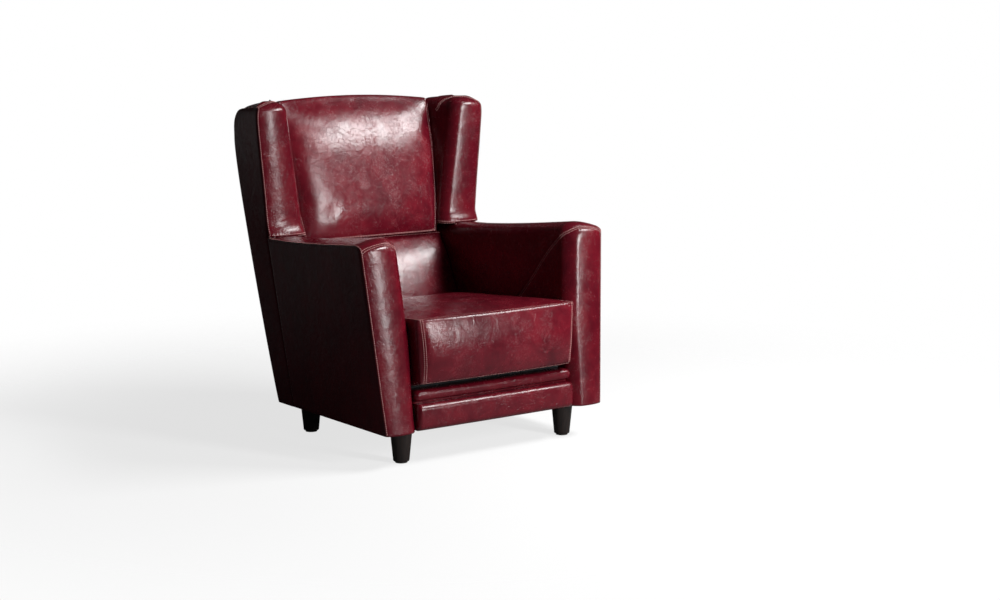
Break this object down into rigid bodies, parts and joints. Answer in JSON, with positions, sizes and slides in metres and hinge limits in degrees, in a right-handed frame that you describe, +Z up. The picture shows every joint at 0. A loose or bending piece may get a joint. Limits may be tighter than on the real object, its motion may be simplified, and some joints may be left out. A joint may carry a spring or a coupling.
{
  "type": "wing armchair",
  "caption": "High-backed upholstered wing armchair in glossy burgundy leather, with a loose boxed seat cushion, padded arms and tapered dark wooden legs.",
  "frame": {"origin": "floor level, under the middle of the chair's outer box", "axes": "+Z up, the chair faces -Y, +X to the right as seen from the front"},
  "size_m": [0.858, 0.86, 1.0188],
  "materials": {
    "leather": "glossy",
    "foam": "matte",
    "hardwood": "raw",
    "dark_walnut": "satin",
    "steel": "plain",
    "webbing": "woven",
    "black_cloth": "matte",
    "felt": "felted"
  },
  "bodies": {
    "chair": {"front_sill": "hardwood", "rear_sill": "hardwood", "side_rail_left": "hardwood", "side_rail_right": "hardwood", "corner_blocks": "hardwood", "arm_post_left": "hardwood", "arm_post_right": "hardwood", "arm_rail_left": "hardwood", "arm_rail_right": "hardwood", "back_post_left": "hardwood", "back_post_right": "hardwood", "back_top_rail": "hardwood", "back_middle_rail": "hardwood", "wing_board_left": "hardwood", "wing_board_right": "hardwood", "seat_springs": "steel", "spring_clips": "steel", "back_webbing": "webbing", "seat_deck": "black_cloth", "dust_cover": "black_cloth", "leg_front_left": "dark_walnut", "leg_front_right": "dark_walnut", "leg_rear_left": "dark_walnut", "leg_rear_right": "dark_walnut", "leg_bolts": "steel", "leg_nuts": "steel", "leg_glides": "felt", "front_rail_cover": "leather", "deck_roll": "leather", "arm_foam_left": "foam", "arm_foam_right": "foam", "arm_cover_left": "leather", "arm_cover_right": "leather", "outer_arm_panel_left": "leather", "outer_arm_panel_right": "leather", "wing_foam_left": "foam", "wing_foam_right": "foam", "wing_cover_left": "leather", "wing_cover_right": "leather", "outer_wing_panel_left": "leather", "outer_wing_panel_right": "leather", "outer_back_panel": "leather", "lumbar_pad_core": "foam", "lumbar_pad_cover": "leather", "back_cushion_core": "foam", "back_cushion_cover": "leather"},
    "seat_cushion": {"seat_cushion_core": "foam", "seat_cushion_cover": "leather"}
  },
  "joints": [
    {"name": "seat_cushion_lift", "type": "slide", "parent": "chair", "child": "seat_cushion", "axis": [0, 0, 1], "range_m": [0, 0.45]}
  ]
}
